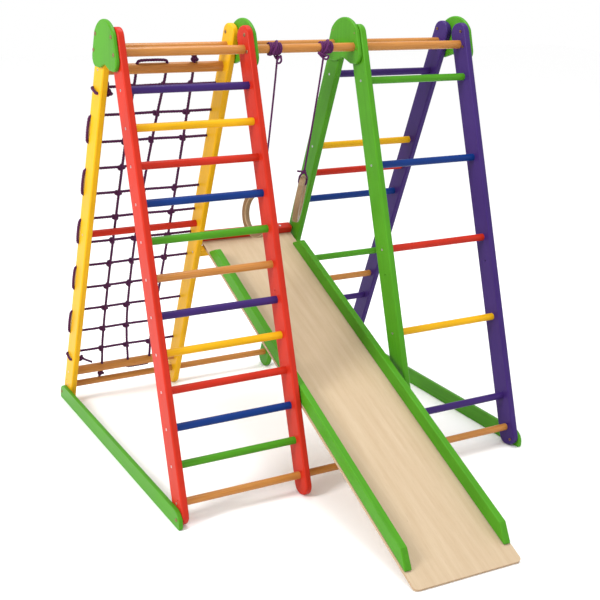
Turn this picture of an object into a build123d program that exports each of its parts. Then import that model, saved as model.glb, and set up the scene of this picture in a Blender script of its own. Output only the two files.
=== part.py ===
from build123d import *
from math import sin, cos, tan, radians
import os

os.makedirs("parts", exist_ok=True)

# A wooden indoor climbing set: two A-frame ladders stand side by side, joined by bars, with a
# plywood slide and two gym rings between them and a rope net on the back of the left one.
# X runs along the rungs, Y from the slide's foot to the back, Z up; the floor is Z = 0.

# --- Driving dimensions, in millimetres and degrees ---
stile_thickness = 24
stile_width = 80
stile_end_radius = 36
stile_edge_round = 6
ladder_clear = 430          # between a ladder's two stiles
bay_clear = 424             # between the two A-frames
lean = 19                   # each leg's angle from the vertical
bar_height = 1430           # axis of the top bars above the floor
bar_half_gap = 66           # from the apex line to a top bar
apex_y = 309.3              # the apex line in the part's frame

rung_pitch = 120
rung_diameter = 26
top_bar_diameter = 30
net_bar_diameter = 36
socket_depth = 12

plate_thickness = 15
plate_edge_round = 5
base_bar_height = 60
base_bar_half_length = 590
base_bar_shoulder = 42

panel_width = 394
panel_thickness = 9
panel_length = 1709
panel_corner = 15
slide_slope = 22.9
slide_turn = 1.6            # the slide lies a little askew between the legs
slide_foot_x = -34.6
slide_foot_y = apex_y - 1203.5
rail_width = 25
rail_height = 47
rail_inset = 1.5
rail_foot = 58              # along the panel from its lower edge
rail_foot_top = 118
rail_top = 1562
rail_top_slant = 48         # the upper end is cut back by this much over the rail's height
cross_bar_depth = 35
cross_bar_height = 28
cleat_length = 330
touch_gap = 0.3             # between bodies that rest on each other

ring_outer = 89
ring_band = 25
ring_thickness = 22
ring_drop = 109             # from the knot to the ring's centre
ring_rope_diameter = 7
ring_knot = 9               # radius of the knot above each ring
hitch_turns = 7

net_rope_diameter = 10
net_knot = 12
net_levels = 12
net_first_level = 151       # along the leg from the top bar
net_pitch = 104
net_offset = 28.4           # out from the stile's centre line
upright_offset = net_offset - net_rope_diameter - 0.2
net_bar_places = (78, 1378)
net_bar_offset = 8
stitch_offset = -16

screw_shank = 4.4
screw_head = 9
screw_head_depth = 2.5
screw_length = 46
bolt_shank = 6
bolt_head = 13
nut_diameter = 10
stud_reach = 30

FRONT, REAR = -1, 1

# --- Places worked out from them ---
half_width = ladder_clear + bay_clear / 2 + 2 * stile_thickness
stile_x = {
    1: -half_width,
    2: -bay_clear / 2 - stile_thickness,
    3: bay_clear / 2,
    4: half_width - stile_thickness,
}
stile_top = -78
foot_corner = (stile_width / 2 - stile_end_radius) * sin(radians(lean))
stile_foot = stile_end_radius + (bar_height - stile_end_radius - foot_corner) / cos(radians(lean))

left_front_rungs = {
    "purple": (1, 7), "yellow": (2, 8), "red": (3, 9),
    "blue": (4, 10), "green": (5, 11), "natural": (6, 12),
}
left_rear_rungs = {"red": (6,), "natural": (12,)}
right_front_rungs = {
    "green": (1,), "blue": (3.5,), "red": (6,), "yellow": (8.5,), "purple": (11,), "natural": (12,),
}
right_rear_rungs = {
    "purple": (1, 10), "yellow": (3.5,), "red": (4.5,), "blue": (5.5,), "green": (8,), "natural": (9, 12),
}


def leg_point(side, place, offset=0):
    """Y and Z of a point on a leg: place runs down the leg, offset goes out of the A."""
    y = side * (bar_half_gap + place * sin(radians(lean)) + offset * cos(radians(lean)))
    return apex_y + y, bar_height - place * cos(radians(lean)) + offset * sin(radians(lean))


def places(groups):
    """All rung places of a ladder, in millimetres along its legs."""
    return sorted(rung_pitch * step for steps in groups.values() for step in steps)


def finish(part, name):
    part.label = name
    export_step(part, f"parts/{name}.step")


# --- Planes of the slide's slope: square to the legs, and turned with the slide itself ---
slope_plane = Plane(
    origin=(slide_foot_x, slide_foot_y, panel_thickness * cos(radians(slide_slope))),
    x_dir=(1, 0, 0),
    z_dir=(0, -sin(radians(slide_slope)), cos(radians(slide_slope))),
)
slide_plane = slope_plane.rotated((0, 0, -slide_turn))
cleat_place = panel_length - cross_bar_depth
support_place = (cleat_place * cos(radians(slide_turn))
                 - cleat_length / 2 * sin(radians(slide_turn)) - cross_bar_depth - 0.5)
panel_roll = panel_width / 2 * sin(radians(slide_turn)) * sin(radians(slide_slope))
support_height = -panel_thickness - touch_gap - panel_roll - cross_bar_height
support_centre = slope_plane.from_local_coords(
    (0, support_place + cross_bar_depth / 2, support_height + cross_bar_height / 2)
)
support_yz = (support_centre.Y, support_centre.Z)

# --- Bolt places, as Y from the apex line and Z ---
plate_bolts = [(side * y, z) for side in (FRONT, REAR) for y, z in ((70, 1477), (90, 1424))]
foot_bolts = [(side * 568, 30) for side in (FRONT, REAR)]

# --- Stiles: four legs a side, from planed boards with rounded ends and edges ---


def make_stile(name, column, side, sockets, laced=False, spare_holes=()):
    """One leg. sockets lists (place, offset, diameter, through bore) on the ladder's side."""
    ladder_right = column in (1, 3)
    y, z = leg_point(side, 0)
    face = Plane(
        origin=(stile_x[column], y, z),
        x_dir=(0, side * sin(radians(lean)), -cos(radians(lean))),
        z_dir=(1, 0, 0),
    )
    inner_start = stile_thickness - socket_depth if ladder_right else 0
    outer_start = 0 if ladder_right else stile_thickness - screw_head_depth
    with BuildPart() as stile:
        with BuildSketch(face):
            with Locations(((stile_top + stile_foot) / 2, 0)):
                RectangleRounded(stile_foot - stile_top, stile_width, stile_end_radius)
        extrude(amount=stile_thickness)
        fillet(stile.faces().filter_by(Axis.X).edges(), radius=stile_edge_round)
        for place, offset, diameter, bore in sockets:
            with BuildSketch(face.offset(inner_start)):
                with Locations((place, side * offset)):
                    Circle(diameter / 2)
            extrude(amount=socket_depth, mode=Mode.SUBTRACT)
            with BuildSketch(face):
                with Locations((place, side * offset)):
                    Circle(bore / 2)
            extrude(amount=stile_thickness, mode=Mode.SUBTRACT)
            if bore == screw_shank:
                with BuildSketch(face.offset(outer_start)):
                    with Locations((place, side * offset)):
                        Circle(screw_head / 2)
                extrude(amount=screw_head_depth, mode=Mode.SUBTRACT)
        bolts = [(apex_y + py, pz) for py, pz in plate_bolts if py * side > 0]
        if column in (1, 4):
            bolts += [(apex_y + py, pz) for py, pz in foot_bolts if py * side > 0]
        with BuildSketch(Plane.YZ.offset(stile_x[column])):
            with Locations(*bolts):
                Circle(bolt_shank / 2)
        extrude(amount=stile_thickness, mode=Mode.SUBTRACT)
        if laced:
            holes = [(net_first_level + net_pitch * i, side * net_offset) for i in range(net_levels)]
            if column == 1:
                holes += [(holes[0][0], side * stitch_offset), (holes[-1][0], side * stitch_offset)]
            with BuildSketch(face):
                with Locations(*holes):
                    Circle(net_rope_diameter / 2 + 0.5)
            extrude(amount=stile_thickness, mode=Mode.SUBTRACT)
        if spare_holes:
            with BuildSketch(face):
                with Locations(*[(place, side * offset) for place, offset in spare_holes]):
                    Circle(2.75)
            extrude(amount=stile_thickness, mode=Mode.SUBTRACT)
        if side == REAR and column in (2, 3):
            far = stile_x[column] + (0 if column == 2 else stile_thickness - screw_head_depth)
            with BuildSketch(Plane.YZ.offset(stile_x[column])):
                with Locations(support_yz):
                    Circle(screw_shank / 2)
            extrude(amount=stile_thickness, mode=Mode.SUBTRACT)
            with BuildSketch(Plane.YZ.offset(far)):
                with Locations(support_yz):
                    Circle(screw_head / 2)
            extrude(amount=screw_head_depth, mode=Mode.SUBTRACT)
    finish(stile.part, name)


def ladder_sockets(groups, column):
    """Sockets of one ladder's rungs and top bar; the bay's side takes studs at the bar ends."""
    end_bore = screw_shank if column in (1, 4) else bolt_shank
    last = 12 * rung_pitch
    rungs = [(p, 0, rung_diameter, end_bore if p == last else screw_shank) for p in places(groups)]
    return rungs + [(0, 0, top_bar_diameter, end_bore)]


net_sockets = [(p, net_bar_offset, net_bar_diameter, screw_shank) for p in net_bar_places]
foot_hole = (1427, 17)
middle_hole = (809, 0)
make_stile("red_stile_left", 1, FRONT, ladder_sockets(left_front_rungs, 1), spare_holes=[foot_hole])
make_stile("red_stile_right", 2, FRONT, ladder_sockets(left_front_rungs, 2),
           spare_holes=[foot_hole, middle_hole])
make_stile("yellow_stile_left", 1, REAR, ladder_sockets(left_rear_rungs, 1) + net_sockets,
           laced=True, spare_holes=[foot_hole])
make_stile("yellow_stile_right", 2, REAR, ladder_sockets(left_rear_rungs, 2) + net_sockets,
           laced=True, spare_holes=[foot_hole])
make_stile("green_stile_front", 3, FRONT, ladder_sockets(right_front_rungs, 3),
           spare_holes=[foot_hole, middle_hole])
make_stile("green_stile_rear", 3, REAR, ladder_sockets(right_rear_rungs, 3), spare_holes=[foot_hole])
make_stile("purple_stile_front", 4, FRONT, ladder_sockets(right_front_rungs, 4),
           spare_holes=[foot_hole, middle_hole])
make_stile("purple_stile_rear", 4, REAR, ladder_sockets(right_rear_rungs, 4), spare_holes=[foot_hole])

# --- Top plates: arched gussets that hold the two legs of each A-frame side together ---
plate_x = {
    "left_outer_plate": stile_x[1] - plate_thickness,
    "left_inner_plate": stile_x[2] + stile_thickness,
    "right_inner_plate": stile_x[3] - plate_thickness,
    "right_outer_plate": stile_x[4] + stile_thickness,
}
stud_yz = [leg_point(side, 0) for side in (FRONT, REAR)]
for plate_name, x in plate_x.items():
    with BuildPart() as plate:
        with BuildSketch(Plane.YZ.offset(x)):
            with BuildLine():
                arch = ThreePointArc((apex_y - 84, 1484), (apex_y, 1527), (apex_y + 84, 1484))
                Polyline(arch @ 1, (apex_y + 120, 1371), (apex_y + 50, 1371), (apex_y, 1388),
                         (apex_y - 50, 1371), (apex_y - 120, 1371), arch @ 0)
            make_face()
            fillet(vertices().group_by(Axis.Y)[0] + vertices().group_by(Axis.Y)[-1], radius=32)
            fillet(vertices().filter_by_position(Axis.Y, apex_y - 1, apex_y + 1), radius=16)
            fillet(vertices().filter_by_position(Axis.Y, apex_y - 85, apex_y - 83)
                   + vertices().filter_by_position(Axis.Y, apex_y + 83, apex_y + 85), radius=40)
        extrude(amount=plate_thickness)
        fillet(plate.faces().filter_by(Axis.X).edges(), radius=plate_edge_round)
        with BuildSketch(Plane.YZ.offset(x)):
            with Locations(*[(apex_y + y, z) for y, z in plate_bolts]):
                Circle(bolt_shank / 2)
            if "inner" in plate_name:
                with Locations(*stud_yz):
                    Circle(bolt_shank / 2)
        extrude(amount=plate_thickness, mode=Mode.SUBTRACT)
    finish(plate.part, plate_name)

# --- Base bars: flat boards on the floor along the outer legs ---
for bar_name, x in (("left_base_bar", plate_x["left_outer_plate"]),
                    ("right_base_bar", plate_x["right_outer_plate"])):
    with BuildPart() as base_bar:
        with BuildSketch(Plane.YZ.offset(x)):
            with Locations((apex_y, base_bar_height / 2)):
                Rectangle(2 * base_bar_half_length, base_bar_height)
            fillet(vertices().group_by(Axis.Y)[-1], radius=base_bar_shoulder)
            fillet(vertices().group_by(Axis.Y)[0].filter_by_position(Axis.X, -2000, 2000), radius=8)
        extrude(amount=plate_thickness)
        fillet(base_bar.faces().filter_by(Axis.X).edges(), radius=3)
        with BuildSketch(Plane.YZ.offset(x)):
            with Locations(*[(apex_y + y, z) for y, z in foot_bolts]):
                Circle(bolt_shank / 2)
        extrude(amount=plate_thickness, mode=Mode.SUBTRACT)
    finish(base_bar.part, bar_name)

# --- Rungs and bars: turned beech rods, with bores in their ends for screws or studs ---


def make_bars(name, x_from, x_to, centres, diameter, bores):
    """Rods along X. bores gives the diameter and depth of the bore in each end."""
    with BuildPart() as bars:
        with BuildSketch(Plane.YZ.offset(x_from)):
            with Locations(*centres):
                Circle(diameter / 2)
        extrude(amount=x_to - x_from)
        for bore_x, (bore, depth) in zip((x_from, x_to), bores):
            with BuildSketch(Plane.YZ.offset(bore_x)):
                with Locations(*centres):
                    Circle(bore / 2)
            extrude(amount=depth if bore_x == x_from else -depth, mode=Mode.SUBTRACT)
    finish(bars.part, name)


screw_bore = (screw_shank, screw_length - stile_thickness + socket_depth)
stud_bore = (bolt_shank, socket_depth + stud_reach)
spans = {
    "left": (stile_x[1] + stile_thickness - socket_depth, stile_x[2] + socket_depth),
    "right": (stile_x[3] + stile_thickness - socket_depth, stile_x[4] + socket_depth),
}
for ladder, (front, rear) in {"left": (left_front_rungs, left_rear_rungs),
                              "right": (right_front_rungs, right_rear_rungs)}.items():
    x_from, x_to = spans[ladder]
    for colour in ("purple", "yellow", "red", "blue", "green"):
        centres = [leg_point(FRONT, rung_pitch * step) for step in front.get(colour, ())]
        centres += [leg_point(REAR, rung_pitch * step) for step in rear.get(colour, ())]
        make_bars(f"{ladder}_rungs_{colour}", x_from, x_to, centres, rung_diameter,
                  (screw_bore, screw_bore))
    top_and_bottom = (screw_bore, stud_bore) if ladder == "left" else (stud_bore, screw_bore)
    plain = [leg_point(FRONT, rung_pitch * step) for step in front["natural"] if step != 12]
    plain += [leg_point(REAR, rung_pitch * step) for step in rear["natural"] if step != 12]
    make_bars(f"{ladder}_rungs_natural", x_from, x_to, plain, rung_diameter, (screw_bore, screw_bore))
    bottoms = [leg_point(side, 12 * rung_pitch) for side in (FRONT, REAR)]
    make_bars(f"{ladder}_bottom_rungs", x_from, x_to, bottoms, rung_diameter, top_and_bottom)
    make_bars(f"{ladder}_top_bars", x_from, x_to, stud_yz, top_bar_diameter, top_and_bottom)

bay_stud = (bolt_shank, stud_reach)
bay_left = stile_x[2] + stile_thickness
bay_right = stile_x[3]
tie_yz = [leg_point(side, 12 * rung_pitch) for side in (FRONT, REAR)]
make_bars("ring_bar", bay_left + plate_thickness, bay_right - plate_thickness, stud_yz[:1],
          top_bar_diameter, (bay_stud, bay_stud))
make_bars("rear_bay_bar", bay_left + plate_thickness, bay_right - plate_thickness, stud_yz[1:],
          top_bar_diameter, (bay_stud, bay_stud))
make_bars("tie_bars", bay_left, bay_right, tie_yz, rung_diameter, (bay_stud, bay_stud))

# The two thick bars that the net's upright ropes pass through, bored where each rope goes.
upright_ends = {
    "top": (-553, -443, -342),
    "bottom": (-549, -438, -343),
}
along_leg = (0, sin(radians(lean)), -cos(radians(lean)))
with BuildPart() as net_bars:
    with BuildSketch(Plane.YZ.offset(spans["left"][0])):
        with Locations(*[leg_point(REAR, p, net_bar_offset) for p in net_bar_places]):
            Circle(net_bar_diameter / 2)
    extrude(amount=spans["left"][1] - spans["left"][0])
    for place, xs in zip(net_bar_places, upright_ends.values()):
        y, z = leg_point(REAR, place - net_bar_diameter, net_bar_offset)
        with BuildSketch(Plane(origin=(0, y, z), x_dir=(1, 0, 0), z_dir=along_leg)):
            with Locations(*[(x, 0) for x in xs]):
                Circle(net_rope_diameter / 2 + 1)
        extrude(amount=2 * net_bar_diameter, mode=Mode.SUBTRACT)
    for x, depth in ((spans["left"][0], screw_bore[1]), (spans["left"][1], -screw_bore[1])):
        with BuildSketch(Plane.YZ.offset(x)):
            with Locations(*[leg_point(REAR, p, net_bar_offset) for p in net_bar_places]):
                Circle(screw_shank / 2)
        extrude(amount=depth, mode=Mode.SUBTRACT)
finish(net_bars.part, "net_bars")

# --- Support bar: screwed between the rear legs of the bay; the slide hooks over it ---
with BuildPart() as support_bar:
    with BuildSketch(slope_plane.offset(support_height)):
        with Locations((-slide_foot_x, support_place + cross_bar_depth / 2)):
            Rectangle(bay_clear, cross_bar_depth)
    extrude(amount=cross_bar_height)
    fillet(support_bar.edges().filter_by(Axis.X), radius=3)
    for x, depth in ((bay_left, 1), (bay_right, -1)):
        with BuildSketch(Plane.YZ.offset(x)):
            with Locations(support_yz):
                Circle(screw_shank / 2)
        extrude(amount=depth * (screw_length - stile_thickness), mode=Mode.SUBTRACT)
finish(support_bar.part, "support_bar")

# --- Slide: a birch plywood panel with side rails, a grab bar on top and a hook cleat below ---
head_screws = [(side * 150, cleat_place + cross_bar_depth / 2) for side in (-1, 1)]
rail_centre = panel_width / 2 - rail_inset - rail_width / 2
rail_screws = [(side * rail_centre, place) for side in (-1, 1) for place in (170, 620, 1070, 1500)]
rail_screw_length = 30

with BuildPart() as slide_panel:
    with BuildSketch(slide_plane.offset(-panel_thickness)):
        with Locations((0, panel_length / 2)):
            Rectangle(panel_width, panel_length)
        fillet(vertices(), radius=panel_corner)
    extrude(amount=panel_thickness)
    with BuildSketch(slide_plane.offset(-panel_thickness)):
        with Locations(*head_screws, *rail_screws):
            Circle(screw_shank / 2)
    extrude(amount=panel_thickness, mode=Mode.SUBTRACT)
    with BuildSketch(slide_plane.offset(-panel_thickness)):
        with Locations(*rail_screws):
            Circle(screw_head / 2)
    extrude(amount=screw_head_depth, mode=Mode.SUBTRACT)
finish(slide_panel.part, "slide_panel")

for rail_name, left_face in (("slide_rail_left", -rail_centre - rail_width / 2),
                             ("slide_rail_right", rail_centre - rail_width / 2)):
    side_plane = Plane(origin=slide_plane.from_local_coords((left_face, 0, 0)),
                       x_dir=slide_plane.y_dir, z_dir=slide_plane.x_dir)
    with BuildPart() as rail:
        with BuildSketch(side_plane) as profile:
            with BuildLine():
                Polyline((rail_foot, 0), (rail_foot_top, rail_height), (rail_top, rail_height),
                         (rail_top + rail_top_slant, 0), close=True)
            make_face()
            fillet(vertices().group_by(Axis.X)[0], radius=4)
            fillet(vertices().group_by(Axis.X)[1], radius=12)
            fillet(vertices().sort_by(Axis.X)[-2:], radius=5)
        extrude(amount=rail_width)
        side_faces = rail.faces().sort_by(SortBy.AREA)[-4:]
        big_faces = [f for f in side_faces if abs(f.normal_at().dot(slide_plane.x_dir)) > 0.99]
        fillet(ShapeList(big_faces).edges(), radius=3.5)
        with BuildSketch(slide_plane):
            with Locations(*[p for p in rail_screws if p[0] * left_face > 0]):
                Circle(screw_shank / 2)
        extrude(amount=rail_screw_length - panel_thickness, mode=Mode.SUBTRACT)
    finish(rail.part, rail_name)

for bar_name, length, height in (("slide_head_bar", panel_width, 0),
                                 ("slide_hook_cleat", cleat_length, -panel_thickness - cross_bar_height)):
    with BuildPart() as cross_bar:
        with BuildSketch(slide_plane.offset(height)):
            with Locations((0, cleat_place + cross_bar_depth / 2)):
                Rectangle(length, cross_bar_depth)
        extrude(amount=cross_bar_height)
        long_edges = cross_bar.edges().filter_by(lambda e: e.length > cleat_length - 1)
        fillet(long_edges, radius=3)
        with BuildSketch(slide_plane.offset(height)):
            with Locations(*head_screws):
                Circle(screw_shank / 2)
        extrude(amount=cross_bar_height, mode=Mode.SUBTRACT)
        if height == 0:
            with BuildSketch(slide_plane.offset(cross_bar_height - screw_head_depth)):
                with Locations(*head_screws):
                    Circle(screw_head / 2)
            extrude(amount=screw_head_depth, mode=Mode.SUBTRACT)
    finish(cross_bar.part, bar_name)

with BuildPart() as slide_screws:
    with BuildSketch(slide_plane.offset(cross_bar_height - screw_head_depth)):
        with Locations(*head_screws):
            Circle(screw_head / 2)
    extrude(amount=screw_head_depth)
    with BuildSketch(slide_plane.offset(-panel_thickness - cross_bar_height + 4)):
        with Locations(*head_screws):
            Circle(screw_shank / 2)
    extrude(amount=2 * cross_bar_height + panel_thickness - 4 - screw_head_depth)
    with BuildSketch(slide_plane.offset(-panel_thickness)):
        with Locations(*rail_screws):
            Circle(screw_head / 2)
    extrude(amount=screw_head_depth)
    with BuildSketch(slide_plane.offset(-panel_thickness + screw_head_depth)):
        with Locations(*rail_screws):
            Circle(screw_shank / 2)
    extrude(amount=rail_screw_length - screw_head_depth)
finish(slide_screws.part, "slide_screws")

# --- Fasteners of the frame ---
left_all = [leg_point(FRONT, p) for p in places(left_front_rungs)]
left_all += [leg_point(REAR, p) for p in places(left_rear_rungs)]
left_all += [leg_point(REAR, p, net_bar_offset) for p in net_bar_places]
right_all = [leg_point(FRONT, p) for p in places(right_front_rungs)]
right_all += [leg_point(REAR, p) for p in places(right_rear_rungs)]

# Countersunk wood screws along X, their heads sunk flush: face, direction and places.
screw_rows = [
    (stile_x[1], 1, left_all + stud_yz),
    (bay_left, -1, [c for c in left_all if c not in tie_yz]),
    (bay_right, 1, [c for c in right_all if c not in tie_yz]),
    (stile_x[4] + stile_thickness, -1, right_all + stud_yz),
    (stile_x[2], 1, [support_yz]),
    (stile_x[3] + stile_thickness, -1, [support_yz]),
]
with BuildPart() as rung_screws:
    for x_face, direction, centres in screw_rows:
        with BuildSketch(Plane.YZ.offset(x_face)):
            with Locations(*centres):
                Circle(screw_head / 2)
        extrude(amount=direction * screw_head_depth)
        with BuildSketch(Plane.YZ.offset(x_face + direction * screw_head_depth)):
            with Locations(*centres):
                Circle(screw_shank / 2)
        extrude(amount=direction * (screw_length - screw_head_depth))
finish(rung_screws.part, "rung_screws")

bolt_stack = plate_thickness + stile_thickness
with BuildPart() as frame_bolts:
    for sign, x_outer in ((1, plate_x["left_outer_plate"]),
                          (-1, plate_x["right_outer_plate"] + plate_thickness)):
        with BuildSketch(Plane.YZ.offset(x_outer)):
            with Locations(*[(apex_y + y, z) for y, z in plate_bolts + foot_bolts]):
                Circle(bolt_shank / 2)
        extrude(amount=sign * (bolt_stack + 2))
        with BuildSketch(Plane.YZ.offset(x_outer)):
            with Locations(*[(apex_y + y, z) for y, z in plate_bolts + foot_bolts]):
                Circle(bolt_head / 2)
        extrude(amount=-sign * 2)
    for sign, x_ladder in ((1, stile_x[2]), (-1, stile_x[3] + stile_thickness)):
        with BuildSketch(Plane.YZ.offset(x_ladder)):
            with Locations(*[(apex_y + y, z) for y, z in plate_bolts]):
                Circle(bolt_shank / 2)
        extrude(amount=sign * bolt_stack)
        with BuildSketch(Plane.YZ.offset(x_ladder)):
            with Locations(*[(apex_y + y, z) for y, z in plate_bolts]):
                Circle(bolt_head / 2)
        extrude(amount=-sign * 2)
finish(frame_bolts.part, "frame_bolts")

with BuildPart() as frame_nuts:
    for sign, x_inner in ((1, stile_x[1] + stile_thickness), (-1, stile_x[4])):
        with BuildSketch(Plane.YZ.offset(x_inner)):
            with Locations(*[(apex_y + y, z) for y, z in plate_bolts + foot_bolts]):
                Circle(nut_diameter / 2)
                Circle(bolt_shank / 2, mode=Mode.SUBTRACT)
        extrude(amount=sign * 3)
finish(frame_nuts.part, "frame_nuts")

with BuildPart() as joining_studs:
    for x_ladder, sign in ((stile_x[2], 1), (stile_x[3] + stile_thickness, -1)):
        for centres, stack in ((stud_yz, bolt_stack), (tie_yz, stile_thickness)):
            with BuildSketch(Plane.YZ.offset(x_ladder - sign * stud_reach)):
                with Locations(*centres):
                    Circle(bolt_shank / 2)
            extrude(amount=sign * (stack + 2 * stud_reach))
finish(joining_studs.part, "joining_studs")

# --- Net: one rope laced through the legs' holes, one threaded through the two thick bars ---


def route_radii(points, tight):
    """Arc radius at each corner: as large as its runs allow, or the tight bend's own radius."""
    radii = []
    for before, corner, after in zip(points, points[1:], points[2:]):
        first, second = Vector(*corner) - Vector(*before), Vector(*after) - Vector(*corner)
        half_turn = radians(first.get_angle(second) / 2)
        wide = 0.45 * min(first.length, second.length) / tan(half_turn)
        radii.append(tight if half_turn > radians(30) else wide)
    return radii


def net_point(x, place, offset):
    return (x, *leg_point(REAR, place, offset))


lace_left = stile_x[1] - 5.5
lace_right = bay_left + 5.5
lace_levels = [net_first_level + net_pitch * i for i in range(net_levels)]
lacing_route = [net_point(stile_x[1] + stile_thickness + 14, lace_levels[0], stitch_offset),
                net_point(lace_left, lace_levels[0], stitch_offset)]
for i, level in enumerate(lace_levels):
    sides = (lace_left, lace_right) if i % 2 == 0 else (lace_right, lace_left)
    lacing_route += [net_point(x, level, net_offset) for x in sides]
lacing_route += [net_point(lace_left, lace_levels[-1], stitch_offset),
                 net_point(stile_x[1] + stile_thickness + 14, lace_levels[-1], stitch_offset)]
lace_bend = 7

# X, place along the leg and offset of the upright rope, from its knot under the lower bar.
upright_route = [
    (-549, 1409, net_bar_offset), (-549.5, 1350, net_bar_offset), (-557, 1240, upright_offset),
    (-561, 900, upright_offset), (-557, 300, upright_offset), (-552.5, 120, net_bar_offset),
    (-553, 54, net_bar_offset), (-443, 54.5, net_bar_offset), (-444, 125, net_bar_offset),
    (-454, 300, upright_offset), (-474, 700, upright_offset), (-468, 1100, upright_offset),
    (-450, 1270, upright_offset), (-438.5, 1350, net_bar_offset), (-438, 1402, net_bar_offset),
    (-343, 1401.5, net_bar_offset), (-343.5, 1345, net_bar_offset), (-349, 1240, upright_offset),
    (-336, 900, upright_offset), (-335, 300, upright_offset), (-341.5, 120, net_bar_offset),
    (-342, 47, net_bar_offset),
]
upright_bend = 9

for rope_name, points, tight in (
    ("net_lacing_rope", lacing_route, lace_bend),
    ("net_upright_rope", [net_point(*p) for p in upright_route], upright_bend),
):
    with BuildPart() as rope:
        with BuildLine():
            path = FilletPolyline(*points, radius=route_radii(points, tight))
        with BuildSketch(Plane(origin=path @ 0, z_dir=path % 0)):
            Circle(net_rope_diameter / 2)
        sweep(path=path)
    print(rope_name, "length", round(path.length), "solid against tube volume",
          round(rope.part.volume / (3.14159 * (net_rope_diameter / 2) ** 2 * path.length), 4))
    finish(rope.part, rope_name)


def upright_x(run, level):
    """Where one of the three upright runs crosses a level of the net."""
    ends = sorted((place, x) for x, place, offset in run)
    for (low, x_low), (high, x_high) in zip(ends, ends[1:]):
        if low <= level <= high:
            return x_low + (x_high - x_low) * (level - low) / (high - low)


upright_runs = (upright_route[0:7], upright_route[7:15], upright_route[15:22])
crossings = [(upright_x(run, level), level, net_offset - net_rope_diameter / 2) for run in upright_runs for level in lace_levels]
rope_end_knots = [
    (stile_x[1] + stile_thickness + net_knot + 0.5, lace_levels[0], stitch_offset),
    (stile_x[1] + stile_thickness + net_knot + 0.5, lace_levels[-1], stitch_offset),
    (upright_route[0][0], upright_route[0][1], net_bar_offset),
    (upright_route[-1][0], upright_route[-1][1], net_bar_offset),
]
with BuildPart() as net_knots:
    for knot in crossings + rope_end_knots:
        with BuildSketch(Plane(origin=net_point(*knot), x_dir=(1, 0, 0), z_dir=(0, 1, 0))):
            with BuildLine():
                ThreePointArc((0, -net_knot), (net_knot, 0), (0, net_knot))
                Line((0, net_knot), (0, -net_knot))
            make_face()
        revolve(axis=Axis(net_point(*knot), (0, 0, 1)), revolution_arc=360)
finish(net_knots.part, "net_knots")

# --- Gym rings: each hangs on a thin rope hitched round the front bar, swung a little back ---
# The rope's X, the hitch's X, swing back, ring's heading, tilt at the knot, reach of the knot.
ring_sets = {
    "left": (-103.8, -121.5, 8.7, -85, 7.5, 489),
    "right": (82, 81.5, 13, 53, 0, 468),
}
bar_y, bar_z = stud_yz[0]
rope_radius = ring_rope_diameter / 2
hitch_radius = top_bar_diameter / 2 + rope_radius + 0.4
hitch_pitch = ring_rope_diameter - 0.1
lump_reach = hitch_radius + 9.5
rope_start = lump_reach + 7.6

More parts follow.
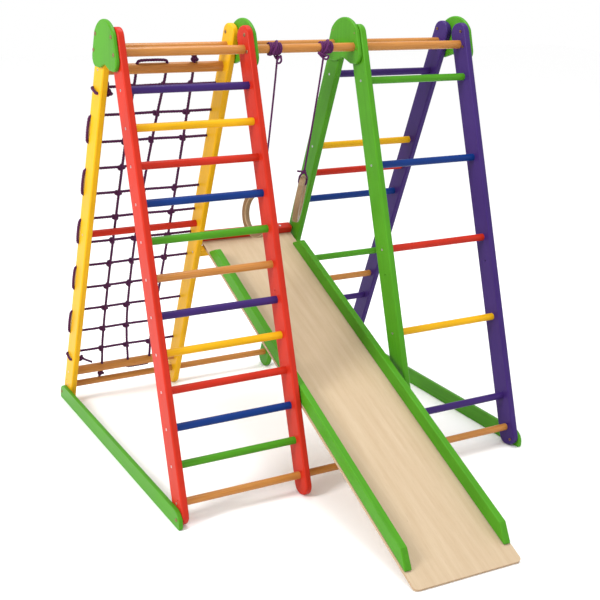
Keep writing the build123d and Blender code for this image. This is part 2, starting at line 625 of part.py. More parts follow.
for side_name, (x, hitch_x, swing, heading, tilt, knot_reach) in ring_sets.items():
    bar_point = Vector(x, bar_y, bar_z)
    down = Vector(0, sin(radians(swing)), -cos(radians(swing)))
    back = Vector(0, cos(radians(swing)), sin(radians(swing)))
    across = Vector(cos(radians(heading)), sin(radians(heading)), 0)
    level_axis = down.cross(across).normalized()
    hang = down * cos(radians(tilt)) + level_axis * sin(radians(tilt))
    ring_axis = level_axis * cos(radians(tilt)) - down * sin(radians(tilt))
    knot = bar_point + down * knot_reach
    ring_centre = knot + hang * ring_drop

    with BuildPart() as hitch:
        with BuildSketch(Plane(origin=(hitch_x, bar_y, bar_z), x_dir=(1, 0, 0), z_dir=(0, 1, 0))):
            first_turn = -hitch_pitch * (hitch_turns - 1) / 2
            with Locations(*[(first_turn + hitch_pitch * i, hitch_radius) for i in range(hitch_turns)]):
                Circle(rope_radius)
        revolve(axis=Axis((hitch_x, bar_y, bar_z), (1, 0, 0)), revolution_arc=360)
        lump = bar_point + down * lump_reach
        with BuildSketch(Plane(origin=lump, x_dir=(1, 0, 0), z_dir=(0, 1, 0))):
            with BuildLine():
                ThreePointArc((0, -8), (8, 0), (0, 8))
                Line((0, 8), (0, -8))
            make_face()
        revolve(axis=Axis(lump, (0, 0, 1)), revolution_arc=360)
    finish(hitch.part, f"{side_name}_bar_hitch")

    route = [bar_point + down * rope_start, bar_point + down * 120 - back * 5,
             knot - down * (ring_knot + 0.3)]
    points = [tuple(p) for p in route]
    radii = route_radii(points, ring_rope_diameter)
    with BuildPart() as ring_rope:
        with BuildLine():
            path = FilletPolyline(*points, radius=radii)
        with BuildSketch(Plane(origin=path @ 0, z_dir=path % 0)):
            Circle(rope_radius)
        sweep(path=path)
    print(side_name, "ring rope", [tuple(round(c, 1) for c in p) for p in points],
          "radii", [round(r) for r in radii], "length", round(path.length, 1), "volume ratio",
          round(ring_rope.part.volume / (3.14159 * rope_radius ** 2 * path.length), 4))
    finish(ring_rope.part, f"{side_name}_ring_rope")

    side = ring_thickness / 2 + rope_radius + touch_gap
    band_in = ring_drop - ring_outer + ring_band + rope_radius + touch_gap
    with BuildPart() as ring_loop:
        with BuildLine(Plane(origin=knot, x_dir=ring_axis, z_dir=ring_axis.cross(hang))):
            path = FilletPolyline((0, 0), (side, 20), (side, band_in), (-side, band_in), (-side, 20),
                                  close=True, radius=5)
        with BuildSketch(Plane(origin=path @ 0, z_dir=path % 0)):
            Circle(rope_radius)
        sweep(path=path)
        with BuildSketch(Plane(origin=knot, x_dir=(1, 0, 0), z_dir=(0, 1, 0))):
            with BuildLine():
                ThreePointArc((0, -ring_knot), (ring_knot, 0), (0, ring_knot))
                Line((0, ring_knot), (0, -ring_knot))
            make_face()
        revolve(axis=Axis(knot, (0, 0, 1)), revolution_arc=360)
    finish(ring_loop.part, f"{side_name}_ring_loop")

    with BuildPart() as ring:
        with BuildSketch(Plane(origin=ring_centre, x_dir=hang, z_dir=hang.cross(ring_axis))):
            with Locations((ring_outer - ring_band / 2, 0)):
                RectangleRounded(ring_band, ring_thickness, 6)
        revolve(axis=Axis(ring_centre, ring_axis), revolution_arc=360)
    finish(ring.part, f"{side_name}_ring")
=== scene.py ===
from math import cos, pi, radians, sin

import bmesh
import bpy
from mathutils import Matrix, Vector


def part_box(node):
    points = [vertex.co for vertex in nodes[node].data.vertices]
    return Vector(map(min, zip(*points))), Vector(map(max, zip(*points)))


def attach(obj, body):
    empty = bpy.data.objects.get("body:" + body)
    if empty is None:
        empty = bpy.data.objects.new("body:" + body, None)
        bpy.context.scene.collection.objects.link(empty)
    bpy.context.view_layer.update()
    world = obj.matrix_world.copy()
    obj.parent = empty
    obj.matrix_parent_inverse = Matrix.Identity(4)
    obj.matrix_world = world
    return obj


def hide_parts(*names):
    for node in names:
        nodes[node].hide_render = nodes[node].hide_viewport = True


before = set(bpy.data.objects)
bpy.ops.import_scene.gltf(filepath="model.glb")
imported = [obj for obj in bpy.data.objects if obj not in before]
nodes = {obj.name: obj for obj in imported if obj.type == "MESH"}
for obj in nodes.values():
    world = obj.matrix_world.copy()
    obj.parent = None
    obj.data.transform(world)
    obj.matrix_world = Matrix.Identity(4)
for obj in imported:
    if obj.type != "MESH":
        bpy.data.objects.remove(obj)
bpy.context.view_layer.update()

# --- Studio ---
# A plain white floor in a white room, under soft round lamps: the main one on the left,
# one overhead and a weak one on the right.
scene = bpy.context.scene
scene.view_settings.view_transform = "Standard"
floor_half = 14.0


def new_material(name):
    """A node material with its shader: returns the material, its tree and the shader node."""
    material = bpy.data.materials.new(name)
    material.use_nodes = True
    return material, material.node_tree, material.node_tree.nodes["Principled BSDF"]


def lamp(name, place, aim, size, power):
    """A round white lamp, turned towards a point."""
    data = bpy.data.lights.new(name, "AREA")
    data.shape = "DISK"
    data.size = size
    data.energy = power
    lit = bpy.data.objects.new(name, data)
    lit.location = place
    lit.rotation_euler = (Vector(aim) - Vector(place)).to_track_quat("-Z", "Y").to_euler()
    scene.collection.objects.link(lit)


world = bpy.data.worlds.new("white_room")
scene.world = world
world.use_nodes = True
world.node_tree.nodes["Background"].inputs["Color"].default_value = (1, 1, 1, 1)
world.node_tree.nodes["Background"].inputs["Strength"].default_value = 1.0

lamp("main_lamp", (-4.6, -0.5, 3.3), (0, 0.1, 0.6), 1.6, 175)
lamp("right_lamp", (3.8, -3.4, 2.6), (0.2, 0, 0.6), 2.0, 8)
lamp("top_lamp", (0.3, 0.6, 4.6), (0, 0.2, 0.5), 2.2, 85)

bm = bmesh.new()
bmesh.ops.create_grid(bm, x_segments=1, y_segments=1, size=floor_half)
floor_mesh = bpy.data.meshes.new("floor")
bm.to_mesh(floor_mesh)
bm.free()
floor = bpy.data.objects.new("floor", floor_mesh)
scene.collection.objects.link(floor)
floor_paper, _, paper = new_material("white_paper")
paper.inputs["Base Color"].default_value = (0.99, 0.99, 0.99, 1)
paper.inputs["Roughness"].default_value = 0.9
paper.inputs["Specular IOR Level"].default_value = 0.1
floor_mesh.materials.append(floor_paper)

camera_data = bpy.data.cameras.new("camera")
camera_data.sensor_width = 36
camera_data.lens = 63.507
camera_data.shift_x = 0.0733
camera_data.shift_y = 0.0306
camera_data.clip_end = 60
camera = bpy.data.objects.new("camera", camera_data)
camera.location = (-1.91423, -2.96657, 1.75445)
camera.rotation_euler = (radians(70.6371), radians(-1.4332), radians(-28.1295))
scene.collection.objects.link(camera)
scene.camera = camera

# --- Ring cords ---
# Each ring hangs on a thin violet cord of three laid strands, tied to the front bar above it.
# The cord runs straight down to its knot over the ring, bowed only a little near the top.
cord_violet = (0.080, 0.008, 0.062)
cord_plum = (0.058, 0.008, 0.046)
apex_y = 0.3093
bar_point_y = apex_y - 0.066
bar_height = 1.43
ring_cord_radius = 0.0035
ring_cord_lay = 0.018
ring_sets = {
    "left": {"x": -0.1038, "swing": 8.7, "heading": -85, "tilt": 7.5, "knot": 0.489,
             "route": [(-0.1038, 0.2487, 1.3944), (-0.1038, 0.2565, 1.3106), (-0.1038, 0.3159, 0.9558)],
             "length": 0.4438},
    "right": {"x": 0.082, "swing": 13, "heading": 53, "tilt": 0, "knot": 0.468,
              "route": [(0.082, 0.2514, 1.3949), (0.082, 0.2654, 1.3120), (0.082, 0.3465, 0.9831)],
              "length": 0.4229},
}


def fibre(name, colour, light, scale):
    """Twisted yarn: tufts of lighter and darker fibre with a fine fuzz."""
    material, tree, shader = new_material(name)
    place = tree.nodes.new("ShaderNodeTexCoord")
    tufts = tree.nodes.new("ShaderNodeTexNoise")
    tufts.inputs["Scale"].default_value = scale
    tufts.inputs["Detail"].default_value = 4
    fuzz = tree.nodes.new("ShaderNodeTexNoise")
    fuzz.inputs["Scale"].default_value = scale * 5
    fuzz.inputs["Detail"].default_value = 3
    mix = tree.nodes.new("ShaderNodeMix")
    mix.data_type = "RGBA"
    mix.inputs["A"].default_value = (*[c * 0.7 for c in colour], 1)
    mix.inputs["B"].default_value = (*light, 1)
    raised = tree.nodes.new("ShaderNodeBump")
    raised.inputs["Strength"].default_value = 0.5
    raised.inputs["Distance"].default_value = 0.0003
    for texture in (tufts, fuzz):
        tree.links.new(place.outputs["Object"], texture.inputs["Vector"])
    tree.links.new(tufts.outputs["Fac"], mix.inputs["Factor"])
    tree.links.new(mix.outputs["Result"], shader.inputs["Base Color"])
    tree.links.new(fuzz.outputs["Fac"], raised.inputs["Height"])
    tree.links.new(raised.outputs["Normal"], shader.inputs["Normal"])
    shader.inputs["Roughness"].default_value = 0.78
    shader.inputs["Specular IOR Level"].default_value = 0.1
    shader.inputs["Sheen Weight"].default_value = 0.10
    shader.inputs["Sheen Roughness"].default_value = 0.5
    return material


def smooth_line(points, steps=10):
    """The points down the middle of a cord whose route has these control points."""
    curve = bpy.data.curves.new("route", "CURVE")
    curve.dimensions = "3D"
    spline = curve.splines.new("NURBS")
    spline.points.add(len(points) - 1)
    for control, point in zip(spline.points, points):
        control.co = (*point, 1)
    spline.order_u = 3
    spline.use_endpoint_u = True
    spline.resolution_u = steps
    holder = bpy.data.objects.new("route", curve)
    mesh = bpy.data.meshes.new_from_object(holder)
    line = [v.co.copy() for v in mesh.vertices]
    bpy.data.objects.remove(holder)
    bpy.data.curves.remove(curve)
    bpy.data.meshes.remove(mesh)
    return line


def evenly(line, step):
    """The same line with its points a step apart."""
    points, start = [line[0]], step
    for a, b in zip(line, line[1:]):
        run = (b - a).length
        at = start
        while at < run:
            points.append(a.lerp(b, at / run))
            at += step
        start = at - run
    return points + [line[-1]]


def laid_cord(name, lines, radius, lay, material, body, replaced=()):
    """Three strands twisted round each line, as one mesh with closed ends.
    The strands press into one another at the middle; lay is the length of one full turn."""
    strand_radius = radius * 0.60
    strand_centre = radius * 0.48
    steps_a_turn = 10
    curve = bpy.data.curves.new(name, "CURVE")
    curve.dimensions = "3D"
    curve.bevel_depth = strand_radius
    curve.bevel_resolution = 1
    curve.use_fill_caps = True
    for line in lines:
        points = evenly(line, lay / steps_a_turn)
        side = (points[1] - points[0]).orthogonal().normalized()
        strands = [[], [], []]
        for k, point in enumerate(points):
            ahead = points[min(k + 1, len(points) - 1)] - points[max(k - 1, 0)]
            ahead.normalize()
            side = (side - ahead * side.dot(ahead)).normalized()
            other = ahead.cross(side)
            for n, strand in enumerate(strands):
                turn = 2 * pi * (k / steps_a_turn + n / 3)
                strand.append(point + (side * cos(turn) + other * sin(turn)) * strand_centre)
        for strand in strands:
            spline = curve.splines.new("POLY")
            spline.points.add(len(strand) - 1)
            for control, point in zip(spline.points, strand):
                control.co = (*point, 1)
    holder = bpy.data.objects.new(name, curve)
    mesh = bpy.data.meshes.new_from_object(holder)
    bpy.data.objects.remove(holder)
    bpy.data.curves.remove(curve)
    mesh.name = name
    for face in mesh.polygons:
        face.use_smooth = True
    mesh.materials.clear()
    mesh.materials.append(material)
    piece = bpy.data.objects.new(name, mesh)
    scene.collection.objects.link(piece)
    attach(piece, body)
    if replaced:
        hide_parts(*replaced)
    return piece


def overhand(centre, size, along, up, tail=()):
    """The route of a small overhand knot drawn tight, lying across along and up."""
    across = along.cross(up).normalized()
    points = []
    for k in range(25):
        t = 2 * pi * k / 24
        points.append(centre + (along * (sin(t) + 2 * sin(2 * t)) / 3
                                + up * (cos(t) - 2 * cos(2 * t)) / 3
                                - across * sin(3 * t) * 0.45) * size)
    return smooth_line([*points, *tail], 3)


ring_fibre = fibre("violet_cord", cord_violet, (0.135, 0.024, 0.140), 500)
for side, ring in ring_sets.items():
    ring["down"] = Vector((0, sin(radians(ring["swing"])), -cos(radians(ring["swing"]))))
    ring["bar"] = Vector((ring["x"], bar_point_y, bar_height))
    ring["line"] = smooth_line(ring["route"], 24)
    laid_cord(f"{side}_ring_cord", [ring["line"]], ring_cord_radius, ring_cord_lay,
                                 ring_fibre, f"{side}_swing", [f"{side}_ring_rope"])

# --- Hitches on the front bar ---
# Each cord is wound in close turns round the bar, passes back over them and is tied off
# below the bar, where a slack bight of it is left hanging. It grips the bar by its own tightness.
hitch_radius = 0.0189
hitch_pitch = 0.0067
hitch_turns = 6.5
wrap_shift = {"left": -0.0177, "right": -0.0005}
bights = {
    "left": [(0.000, -0.020, -0.022), (0.001, -0.021, -0.030), (0.004, -0.018, -0.041),
             (-0.004, -0.016, -0.048), (-0.014, -0.018, -0.045), (-0.014, -0.020, -0.036),
             (-0.006, -0.020, -0.027), (0.003, -0.012, -0.022)],
    "right": [(0.004, -0.018, -0.024), (0.004, -0.021, -0.034), (-0.006, -0.022, -0.039),
              (-0.019, -0.021, -0.033), (-0.031, -0.019, -0.022), (-0.038, -0.016, -0.014),
              (-0.030, -0.021, -0.017), (-0.014, -0.022, -0.024), (0.002, -0.014, -0.025)],
}
for side, ring in ring_sets.items():
    bar = ring["bar"]
    middle = bar + Vector((wrap_shift[side], 0, 0))
    turns = []
    for k in range(int(hitch_turns * 16) + 1):
        angle = 2 * pi * k / 16 - pi / 2
        loosen = 1 + 0.035 * sin(k * 0.9)
        turns.append(middle + Vector(((k / 16 - hitch_turns / 2) * hitch_pitch,
                                      -cos(angle) * hitch_radius * loosen,
                                      sin(angle) * hitch_radius * loosen)))
    over = [middle + Vector(p) for p in (
        (-0.016, 0.011, -0.019), (-0.018, -0.013, -0.022), (-0.012, -0.026, -0.006),
        (-0.002, -0.026, 0.010), (0.008, -0.010, 0.026), (0.014, 0.012, 0.024),
        (0.014, 0.0255, 0.002), (0.010, 0.017, -0.021), (0.006, -0.004, -0.0285))]
    bight = [bar + Vector(p) for p in bights[side]]
    knot = overhand(bar + ring["down"] * 0.0284, 0.0070, Vector((1, 0, 0)), ring["down"])
    shank = [bar + ring["down"] * r for r in (0.022, 0.029, 0.0358)]
    hitch = laid_cord(f"{side}_hitch", [smooth_line(turns, 2), smooth_line(over), smooth_line(bight),
                                        knot, smooth_line(shank)],
                      ring_cord_radius, ring_cord_lay, ring_fibre, f"{side}_swing", [f"{side}_bar_hitch"])
    ring["hitch"] = hitch

# --- Loops round the rings ---
# The lower end of each cord passes round the ring's band and is knotted above it,
# with a short cut tail standing off to one side.
loop_side = 0.0148          # from the middle of the ring's thickness to the cord
ring_drop = 0.109           # from the knot to the ring's centre
for side, ring in ring_sets.items():
    down = ring["down"]
    heading, tilt = radians(ring["heading"]), radians(ring["tilt"])
    level_axis = down.cross(Vector((cos(heading), sin(heading), 0))).normalized()
    hang = down * cos(tilt) + level_axis * sin(tilt)
    axis = level_axis * cos(tilt) - down * sin(tilt)
    across = axis.cross(hang).normalized()
    knot_centre = ring["bar"] + down * ring["knot"]
    ring["centre"] = knot_centre + hang * ring_drop
    ring["basis"] = Matrix((-across, hang, axis)).transposed()
    loop = [knot_centre + axis * a + hang * r for a, r in (
        (0.001, 0.000), (0.0075, 0.009), (0.0138, 0.018), (loop_side, 0.029), (loop_side, 0.042),
        (0.0125, 0.0490), (0.0045, 0.0497), (-0.0045, 0.0497), (-0.0125, 0.0490), (-loop_side, 0.042),
        (-loop_side, 0.029), (-0.0138, 0.018), (-0.0075, 0.009), (-0.001, 0.000))]
    knot = overhand(knot_centre, 0.0074, axis, hang)
    tail = [knot_centre + across * a - axis * b + down * c
            for a, b, c in ((0, 0.002, 0.001), (-0.004, 0.010, -0.002), (-0.005, 0.018, 0.000),
                            (-0.006, 0.025, -0.001))]
    collar = [knot_centre - down * r for r in (0.0095, 0.005, 0)]
    tied = laid_cord(f"{side}_loop", [smooth_line(loop, 6), knot, smooth_line(tail), smooth_line(collar)],
                     ring_cord_radius, ring_cord_lay, ring_fibre, f"{side}_hanging_ring",
                     [f"{side}_ring_loop"])

# --- Net ---
# Plum rope of three laid strands: one length is laced to and fro through holes in the yellow legs,
# another runs three times between the thick bars, and they are knotted together where they cross.
net_radius = 0.005
net_lay = 0.030
lean = radians(19)
net_offset = 0.0284
upright_offset = 0.0182
bar_offset = 0.008
stitch_offset = -0.016
net_levels = [0.151 + 0.104 * k for k in range(12)]
outer_left, outer_right = -0.6965, -0.2055


def net_point(x, place, offset):
    """A point on the back of the left A-frame: place runs down the leg, offset stands out from it."""
    y = apex_y + 0.066 + place * sin(lean) + offset * cos(lean)
    return Vector((x, y, bar_height - place * cos(lean) + offset * sin(lean)))


net_fibre = fibre("plum_rope", cord_plum, (0.100, 0.018, 0.085), 420)
lacing = [net_point(-0.640, net_levels[0] + 0.003, stitch_offset),
          net_point(-0.655, net_levels[0], stitch_offset),
          net_point(-0.684, net_levels[0], stitch_offset),
          net_point(outer_left, net_levels[0], stitch_offset),
          net_point(outer_left, net_levels[0], stitch_offset + 0.012)]
for i, level in enumerate(net_levels):
    ends = (outer_left, outer_right) if i % 2 == 0 else (outer_right, outer_left)
    inward = 1 if i % 2 == 0 else -1
    if i == 0:
        lacing += [net_point(ends[0], level, net_offset - 0.012), net_point(ends[0], level, net_offset)]
    else:
        lacing += [net_point(ends[0], level - 0.018, net_offset),
                   net_point(ends[0] + inward * 0.002, level - 0.003, net_offset)]
    lacing += [net_point(ends[0] + inward * reach, level + sag, net_offset)
               for reach, sag in ((0.015, 0), (0.045, 0), (0.14, 0.001), (0.25, -0.0015), (0.36, 0.001))]
    lacing += [net_point(ends[1] - inward * reach, level, net_offset) for reach in (0.045, 0.015)]
    if i < len(net_levels) - 1:
        lacing += [net_point(ends[1] - inward * 0.002, level + 0.003, net_offset),
                   net_point(ends[1], level + 0.018, net_offset),
                   net_point(ends[1] + inward * 0.0015, level + 0.052, net_offset - 0.001)]
    else:
        lacing.append(net_point(ends[1], level, net_offset))
lacing += [net_point(outer_left, net_levels[-1], net_offset - 0.012),
           net_point(outer_left, net_levels[-1], stitch_offset + 0.012),
           net_point(outer_left, net_levels[-1], stitch_offset),
           net_point(-0.684, net_levels[-1], stitch_offset),
           net_point(-0.655, net_levels[-1], stitch_offset),
           net_point(-0.640, net_levels[-1] + 0.004, stitch_offset)]
laced = laid_cord("net_lacing", [smooth_line(lacing, 8)], net_radius, net_lay, net_fibre, "frame",
                  ["net_lacing_rope"])

uprights = [
    (-0.549, 1.409, bar_offset), (-0.5495, 1.350, bar_offset), (-0.557, 1.240, upright_offset),
    (-0.561, 0.900, upright_offset), (-0.557, 0.300, upright_offset), (-0.5525, 0.120, bar_offset),
    (-0.553, 0.066, bar_offset), (-0.552, 0.053, bar_offset), (-0.538, 0.0485, bar_offset),
    (-0.458, 0.0485, bar_offset), (-0.444, 0.053, bar_offset), (-0.443, 0.066, bar_offset),
    (-0.444, 0.125, bar_offset),
    (-0.454, 0.300, upright_offset), (-0.474, 0.700, upright_offset), (-0.468, 1.100, upright_offset),
    (-0.450, 1.270, upright_offset), (-0.4385, 1.350, bar_offset), (-0.438, 1.388, bar_offset),
    (-0.437, 1.402, bar_offset), (-0.425, 1.4023, bar_offset), (-0.356, 1.402, bar_offset),
    (-0.344, 1.4015, bar_offset), (-0.343, 1.388, bar_offset), (-0.3435, 1.345, bar_offset),
    (-0.349, 1.240, upright_offset), (-0.336, 0.900, upright_offset), (-0.335, 0.300, upright_offset),
    (-0.3415, 0.120, bar_offset), (-0.342, 0.047, bar_offset),
]
threaded = laid_cord("net_uprights", [smooth_line([net_point(*p) for p in uprights], 16)],
                     net_radius, net_lay, net_fibre, "frame", ["net_upright_rope"])


def upright_x(run, level):
    """Where an upright run of the net crosses a level."""
    ends = sorted((place, x) for x, place, _ in run)
    for (low, x_low), (high, x_high) in zip(ends, ends[1:]):
        if low <= level <= high:
            return x_low + (x_high - x_low) * (level - low) / (high - low)


leg_down = Vector((0, sin(lean), -cos(lean)))
leg_out = Vector((0, cos(lean), sin(lean)))
along_bars = Vector((1, 0, 0))
knots = []
for run in (uprights[0:8], uprights[9:20], uprights[21:30]):
    for k, level in enumerate(net_levels):
        turn = Matrix.Rotation(radians(35 + 50 * ((k * 7 + len(knots)) % 5)), 3, leg_out)
        knots.append(overhand(net_point(upright_x(run, level), level, net_offset - 0.005), 0.0112,
                              turn @ along_bars, turn @ leg_down))
rope_ends = (
    (net_point(-0.6515, net_levels[0], stitch_offset), (-0.004, -0.012), (-0.008, -0.036)),
    (net_point(-0.6515, net_levels[-1], stitch_offset), (0.016, 0.010), (0.042, 0.026)),
    (net_point(-0.549, 1.411, bar_offset), (-0.004, 0.012), (-0.010, 0.030)),
    (net_point(-0.342, 0.048, bar_offset), (-0.008, -0.008), (-0.018, -0.022)),
)
for centre, *turns in rope_ends:
    tail = [centre + along_bars * x + leg_down * z for x, z in turns]
    tail.append(tail[-1] + (tail[-1] - tail[-2]) * 0.2)
    knots.append(overhand(centre, 0.0108, along_bars, leg_down))
    knots.append(smooth_line([centre, *tail], 6))
knotted = laid_cord("net_knotting", knots, net_radius * 0.92, net_lay, net_fibre, "frame", ["net_knots"])

# --- Painted legs ---
# Planed softwood boards, primed and sprayed in a glossy child-safe enamel; a little of the grain
# still telegraphs through, and the colour is a shade thinner along it.


def timber_place(tree, turn, stretch, origin=(0, 0, 0)):
    """Coordinates with the wood's grain along Y, drawn out so that a pattern runs with it."""
    place = tree.nodes.new("ShaderNodeTexCoord")
    mapping = tree.nodes.new("ShaderNodeMapping")
    mapping.vector_type = "TEXTURE"
    mapping.inputs["Location"].default_value = origin
    mapping.inputs["Rotation"].default_value = [radians(a) for a in turn]
    mapping.inputs["Scale"].default_value = (1, stretch, 1)
    tree.links.new(place.outputs["Object"], mapping.inputs["Vector"])
    return place.outputs["Object"], mapping.outputs["Vector"]


def noise(tree, vector, scale, detail=4, roughness=0.5):
    """A cloudy value between nought and one."""
    texture = tree.nodes.new("ShaderNodeTexNoise")
    texture.inputs["Scale"].default_value = scale
    texture.inputs["Detail"].default_value = detail
    texture.inputs["Roughness"].default_value = roughness
    tree.links.new(vector, texture.inputs["Vector"])
    return texture.outputs["Fac"]


def spread(tree, value, low, high, to_low=0.0, to_high=1.0):
    """A value stretched from one span to another and held at its ends."""
    stretch = tree.nodes.new("ShaderNodeMapRange")
    for name, number in (("From Min", low), ("From Max", high), ("To Min", to_low), ("To Max", to_high)):
        stretch.inputs[name].default_value = number
    tree.links.new(value, stretch.inputs["Value"])
    return stretch.outputs["Result"]


def blend(tree, factor, first, second):
    """Two colours, or an output and a colour, mixed by a factor."""
    mix = tree.nodes.new("ShaderNodeMix")
    mix.data_type = "RGBA"
    for socket, colour in (("A", first), ("B", second)):
        if isinstance(colour, tuple):
            mix.inputs[socket].default_value = (*colour, 1)
        else:
            tree.links.new(colour, mix.inputs[socket])
    tree.links.new(factor, mix.inputs["Factor"])
    return mix.outputs["Result"]


def bump(tree, height, strength, distance, under=None):
    """Fine relief from a value, over an earlier relief if there is one."""
    raised = tree.nodes.new("ShaderNodeBump")
    raised.inputs["Strength"].default_value = strength
    raised.inputs["Distance"].default_value = distance
    tree.links.new(height, raised.inputs["Height"])
    if under is not None:
        tree.links.new(under, raised.inputs["Normal"])
    return raised.outputs["Normal"]


def enamel(name, colour, turn):
    """Glossy paint over planed timber whose grain runs along turn's Y."""
    material, tree, shader = new_material(name)
    whole, along = timber_place(tree, turn, 28)
    grain = noise(tree, along, 130, 5, 0.6)
    cloud = noise(tree, whole, 7, 3)
    peel = noise(tree, whole, 620, 2)
    thin = tuple(min(1, c * 1.10 + 0.003) for c in colour)
    deep = tuple(c * 0.86 for c in colour)
    tone = blend(tree, spread(tree, grain, 0.35, 0.68), deep, colour)
    tone = blend(tree, spread(tree, cloud, 0.42, 0.72, 0, 0.7), tone, thin)
    tree.links.new(tone, shader.inputs["Base Color"])
    tree.links.new(spread(tree, cloud, 0.3, 0.7, 0.34, 0.46), shader.inputs["Roughness"])
    ridges = bump(tree, grain, 0.22, 0.0006)
    tree.links.new(bump(tree, peel, 0.10, 0.0003, ridges), shader.inputs["Normal"])
    shader.inputs["Specular IOR Level"].default_value = 0.10
    shader.inputs["Coat Weight"].default_value = 0.06
    shader.inputs["Coat Roughness"].default_value = 0.22
    return material


def dress(material, *names):
    """Puts a material on pieces of the frame as they are."""
    for name in names:
        nodes[name].data.materials.clear()
        nodes[name].data.materials.append(material)


paint_colours = {
    "red": (0.475, 0.022, 0.008),
    "yellow": (0.700, 0.370, 0.005),
    "green": (0.064, 0.265, 0.010),
    "purple": (0.040, 0.016, 0.125),
    "blue": (0.003, 0.030, 0.175),
}
front_leg, rear_leg = (71, 0, 0), (109, 0, 0)
for colour, front, rear in (("red", ("red_stile_left", "red_stile_right"), ()),
                            ("yellow", (), ("yellow_stile_left", "yellow_stile_right")),
                            ("green", ("green_stile_front",), ("green_stile_rear",)),
                            ("purple", ("purple_stile_front",), ("purple_stile_rear",))):
    if front:
        dress(enamel(f"{colour}_front_leg", paint_colours[colour], front_leg), *front)
    if rear:
        dress(enamel(f"{colour}_rear_leg", paint_colours[colour], rear_leg), *rear)

# --- Top plates and base bars ---
# Arched plates cut from board and painted green, bolted across each pair of legs,
# and long green bars that lie on the floor along the two outer sides.
dress(enamel("green_plate", paint_colours["green"], (90, 0, 0)),
      "left_outer_plate", "left_inner_plate", "right_inner_plate", "right_outer_plate")
dress(enamel("green_base", paint_colours["green"], (0, 0, 0)), "left_base_bar", "right_base_bar")

# --- Rungs ---
# Turned beech rods, glued into blind sockets and painted one colour each,
# with every sixth rung, the bars and the ties left in a warm clear varnish.
along_x = (0, 0, -90)
for colour in ("purple", "yellow", "red", "blue", "green"):
    dress(enamel(f"{colour}_rung", paint_colours[colour], along_x),
          f"left_rungs_{colour}", f"right_rungs_{colour}")


def varnished(name, light, dark, turn, gloss=0.30):
    """Clear-varnished beech: soft streaks along the grain and the wood's short dark flecks."""
    material, tree, shader = new_material(name)
    whole, along = timber_place(tree, turn, 26)
    streaks = noise(tree, along, 260, 5, 0.62)
    bands = noise(tree, along, 70, 3)
    tone = blend(tree, spread(tree, streaks, 0.32, 0.70), dark, light)
    tone = blend(tree, spread(tree, bands, 0.35, 0.75, 0, 0.5), tone, tuple(c * 0.82 for c in light))
    _, short = timber_place(tree, turn, 9)
    flecks = noise(tree, short, 1500, 2)
    tone = blend(tree, spread(tree, flecks, 0.66, 0.76, 0, 0.55), tone, tuple(c * 0.45 for c in dark))
    tree.links.new(tone, shader.inputs["Base Color"])
    tree.links.new(spread(tree, streaks, 0.3, 0.7, gloss, gloss + 0.12), shader.inputs["Roughness"])
    tree.links.new(bump(tree, streaks, 0.20, 0.0004), shader.inputs["Normal"])
    shader.inputs["Specular IOR Level"].default_value = 0.15
    shader.inputs["Coat Weight"].default_value = 0.20
    shader.inputs["Coat Roughness"].default_value = 0.15
    return material


beech_light = (0.52, 0.228, 0.052)
beech_dark = (0.40, 0.145, 0.026)
dress(varnished("varnished_beech", beech_light, beech_dark, along_x),
      "left_rungs_natural", "right_rungs_natural", "left_bottom_rungs", "right_bottom_rungs",
      "left_top_bars", "right_top_bars", "ring_bar", "rear_bay_bar", "tie_bars", "net_bars")

# --- Slide ---
# A long panel of birch plywood, varnished, with green rails screwed along it, a red bar across
# the top to hold on to, and a plain cleat underneath that hooks behind the yellow support bar.
slide_origin = (-0.0346, apex_y - 1.2035, 0.0083)
slide_turn = (22.9, 0, -1.6)
dress(enamel("green_rail", paint_colours["green"], slide_turn), "slide_rail_left", "slide_rail_right")
dress(enamel("red_bar", paint_colours["red"], along_x), "slide_head_bar")
dress(enamel("yellow_bar", paint_colours["yellow"], along_x), "support_bar")


def plywood(name, light, dark, edge, ply, turn, origin, stretch=16):
    """Varnished plywood: rotary-cut birch on its faces and thin stripes of plies on its edges.
    The plies lie across the local Z, and ply is the thickness of one."""
    material, tree, shader = new_material(name)
    whole, along = timber_place(tree, turn, stretch, origin)
    figure = noise(tree, along, 42, 4, 0.55)
    pores = noise(tree, along, 420, 5, 0.6)
    tone = blend(tree, spread(tree, figure, 0.30, 0.72), dark, light)
    tone = blend(tree, spread(tree, pores, 0.52, 0.80, 0, 0.35), tone, tuple(c * 0.72 for c in dark))
    _, short = timber_place(tree, turn, 5, origin)
    marks = noise(tree, short, 95, 2)
    tone = blend(tree, spread(tree, marks, 0.765, 0.80, 0, 0.7), tone, tuple(c * 0.42 for c in dark))
    split = tree.nodes.new("ShaderNodeSeparateXYZ")
    tree.links.new(along, split.inputs["Vector"])
    stripes = tree.nodes.new("ShaderNodeMath")
    stripes.operation = "PINGPONG"
    tree.links.new(split.outputs["Z"], stripes.inputs[0])
    stripes.inputs[1].default_value = ply
    tone = blend(tree, spread(tree, stripes.outputs["Value"], ply * 0.52, ply * 0.70), tone, edge)
    tree.links.new(tone, shader.inputs["Base Color"])
    tree.links.new(spread(tree, figure, 0.3, 0.7, 0.34, 0.46), shader.inputs["Roughness"])
    tree.links.new(bump(tree, pores, 0.12, 0.0004), shader.inputs["Normal"])
    shader.inputs["Specular IOR Level"].default_value = 0.15
    shader.inputs["Coat Weight"].default_value = 0.10
    shader.inputs["Coat Roughness"].default_value = 0.25
    return material


birch_light = (0.555, 0.430, 0.290)
birch_dark = (0.485, 0.360, 0.228)
dress(plywood("birch_panel", birch_light, birch_dark, (0.27, 0.13, 0.05), 0.0015, slide_turn,
              slide_origin), "slide_panel")
dress(plywood("birch_cleat", birch_light, birch_dark, (0.27, 0.13, 0.05), 0.0015, slide_turn,
              slide_origin), "slide_hook_cleat")

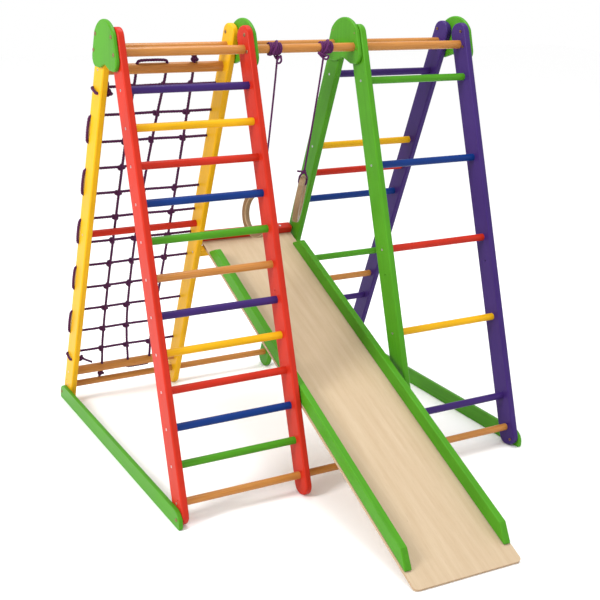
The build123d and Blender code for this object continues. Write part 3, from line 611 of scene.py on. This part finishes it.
# --- Gym rings ---
# Cut from thick birch plywood and rounded over, so that the plies draw fine
# curved lines round each ring's flanks, under a clear varnish.
for side, ring in ring_sets.items():
    turn = [a * 180 / pi for a in ring["basis"].to_euler()]
    dress(plywood(f"{side}_ring_plywood", (0.40, 0.285, 0.165), (0.31, 0.205, 0.105), (0.18, 0.10, 0.045),
                  0.0016, turn, tuple(ring["centre"]), 6), f"{side}_ring")

# --- Screws and bolts ---
# Zinc-plated countersunk screws with cross recesses hold the rungs and the slide together;
# flat-headed brass-coloured connector bolts with hexagon sockets hold the plates and base bars.


def metal(name, colour, roughness):
    """Plated steel with a faint smudge of handling."""
    material, tree, shader = new_material(name)
    whole, _ = timber_place(tree, (0, 0, 0), 1)
    smudge = noise(tree, whole, 900, 3)
    tree.links.new(blend(tree, smudge, tuple(c * 0.8 for c in colour), colour), shader.inputs["Base Color"])
    tree.links.new(spread(tree, smudge, 0.3, 0.7, roughness, roughness + 0.15), shader.inputs["Roughness"])
    shader.inputs["Metallic"].default_value = 1.0
    return material


def driven_head(bm, place, outward, radius, rise, recess, depth, seat, shank=0.0, shank_length=0.0):
    """One screw or bolt head: a low crown with a recess of the given outline, closed below.
    Heights are measured outwards from place; seat is how far the head is sunk below it."""
    made = []

    def ring_of(size, height, outline=None):
        if outline is None:
            verts = bmesh.ops.create_circle(bm, segments=24, radius=size)["verts"]
        else:
            verts = [bm.verts.new((x, y, 0)) for x, y in outline]
            for a, b in zip(verts, verts[1:] + verts[:1]):
                bm.edges.new((a, b))
        bmesh.ops.translate(bm, verts=verts, vec=(0, 0, height))
        made.extend(verts)
        edges = {e for v in verts for e in v.link_edges if all(u in verts for u in e.verts)}
        return verts, list(edges)

    if shank_length:
        stack = [(shank, -shank_length), (shank, -seat), (radius, -seat)]
    else:
        stack = [(radius * 0.5, -seat - 0.0002), (radius, -seat)]
    stack += [(radius, rise * 0.3), (radius * 0.96, rise * 0.75), (radius * 0.86, rise)]
    rings = [ring_of(size, height) for size, height in stack]
    for (_, lower), (_, upper) in zip(rings, rings[1:]):
        bmesh.ops.bridge_loops(bm, edges=lower + upper)
    _, top = ring_of(0, rise, recess)
    bmesh.ops.bridge_loops(bm, edges=rings[-1][1] + top)
    _, floor_edges = ring_of(0, rise - depth, [(x * 0.8, y * 0.8) for x, y in recess])
    bmesh.ops.bridge_loops(bm, edges=top + floor_edges)
    bmesh.ops.contextual_create(bm, geom=floor_edges)
    bmesh.ops.contextual_create(bm, geom=rings[0][1])
    turn = Vector(outward).to_track_quat("Z", "Y").to_matrix().to_4x4()
    bmesh.ops.transform(bm, matrix=Matrix.Translation(place) @ turn, verts=made)


def hardware(name, places, material, body, replaced, slot, **shape):
    """All the heads of one kind as one mesh."""
    bm = bmesh.new()
    for place, outward in places:
        driven_head(bm, Vector(place), Vector(outward), **shape)
    bmesh.ops.recalc_face_normals(bm, faces=bm.faces)
    mesh = bpy.data.meshes.new(name)
    bm.to_mesh(mesh)
    bm.free()
    mesh.materials.append(material)
    piece = bpy.data.objects.new(name, mesh)
    scene.collection.objects.link(piece)
    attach(piece, body)
    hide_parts(*replaced)
    return piece


def leg_point(side, place, offset=0.0):
    """Y and Z on a leg: side is -1 at the front and 1 at the back."""
    y = apex_y + side * (0.066 + place * sin(lean) + offset * cos(lean))
    return y, bar_height - place * cos(lean) + offset * sin(lean)


arm, half = 0.0023, 0.00055
cross = [(arm, -half), (arm, half), (half, half), (half, arm), (-half, arm), (-half, half),
         (-arm, half), (-arm, -half), (-half, -half), (-half, -arm), (half, -arm), (half, -half)]
hexagon = [(0.0029 * cos(k * pi / 3), 0.0029 * sin(k * pi / 3)) for k in range(6)]
zinc = metal("zinc_plate", (0.62, 0.62, 0.64), 0.32)
brass = metal("yellow_zinc", (0.34, 0.20, 0.11), 0.42)
left_x, left_bay_x, right_bay_x, right_x = -0.690, -0.212, 0.212, 0.690
front_left = [k * 0.12 for k in range(13)]
front_right = [k * 0.12 for k in (0, 1, 3.5, 6, 8.5, 11, 12)]
rear_right = [k * 0.12 for k in (0, 1, 3.5, 4.5, 5.5, 8, 9, 10, 12)]
left_points = [leg_point(-1, p) for p in front_left] + [leg_point(1, p) for p in (0, 0.72, 1.44)]
left_points += [leg_point(1, p, bar_offset) for p in (0.078, 1.378)]
right_points = [leg_point(-1, p) for p in front_right] + [leg_point(1, p) for p in rear_right]
joined = [leg_point(s, p) for s in (-1, 1) for p in (0, 1.44)]
screws = [((left_x, *p), (-1, 0, 0)) for p in left_points]
screws += [((left_bay_x, *p), (1, 0, 0)) for p in left_points if p not in joined]
screws += [((right_bay_x, *p), (-1, 0, 0)) for p in right_points if p not in joined]
screws += [((right_x, *p), (1, 0, 0)) for p in right_points]
support_low, support_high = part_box("support_bar")
support_middle = (support_low + support_high) / 2
screws += [((-0.236, support_middle.y, support_middle.z), (-1, 0, 0)),
           ((0.236, support_middle.y, support_middle.z), (1, 0, 0))]
hardware("cross_head_screws", screws, zinc, "frame", ["rung_screws"], "zinc_screws",
         radius=0.0045, rise=0.0002, recess=cross, depth=0.0014, seat=0.0022)

slide_frame = Matrix.Rotation(radians(-1.6), 3, "Z") @ Matrix.Rotation(radians(22.9), 3, "X")
rail_line = 0.183
slide_screws = [(x, 1.6915, 0.028, 1) for x in (-0.15, 0.15)]
slide_screws += [(x, y, -0.009, -1) for x in (-rail_line, rail_line) for y in (0.17, 0.62, 1.07, 1.50)]
hardware("slide_screw_heads",
         [(Vector(slide_origin) + slide_frame @ Vector((x, y, z)), slide_frame @ Vector((0, 0, s)))
          for x, y, z, s in slide_screws],
         zinc, "slide", ["slide_screws"], "zinc_screws",
         radius=0.0045, rise=0.0002, recess=cross, depth=0.0014, seat=0.0022)

plate_bolts = [(s * y, z) for s in (-1, 1) for y, z in ((0.070, 1.477), (0.090, 1.424))]
foot_bolts = [(s * 0.568, 0.030) for s in (-1, 1)]
bolts = [((s * 0.705, apex_y + y, z), (s, 0, 0)) for s in (-1, 1) for y, z in plate_bolts + foot_bolts]
bolts += [((s * 0.236, apex_y + y, z), (s, 0, 0)) for s in (-1, 1) for y, z in plate_bolts]
hardware("connector_bolts", bolts, brass, "frame", ["frame_bolts"], "brass_bolts",
         radius=0.0065, rise=0.002, recess=hexagon, depth=0.0016, seat=0.0, shank=0.003,
         shank_length=0.039)
dress(brass, "frame_nuts")
dress(zinc, "joining_studs")
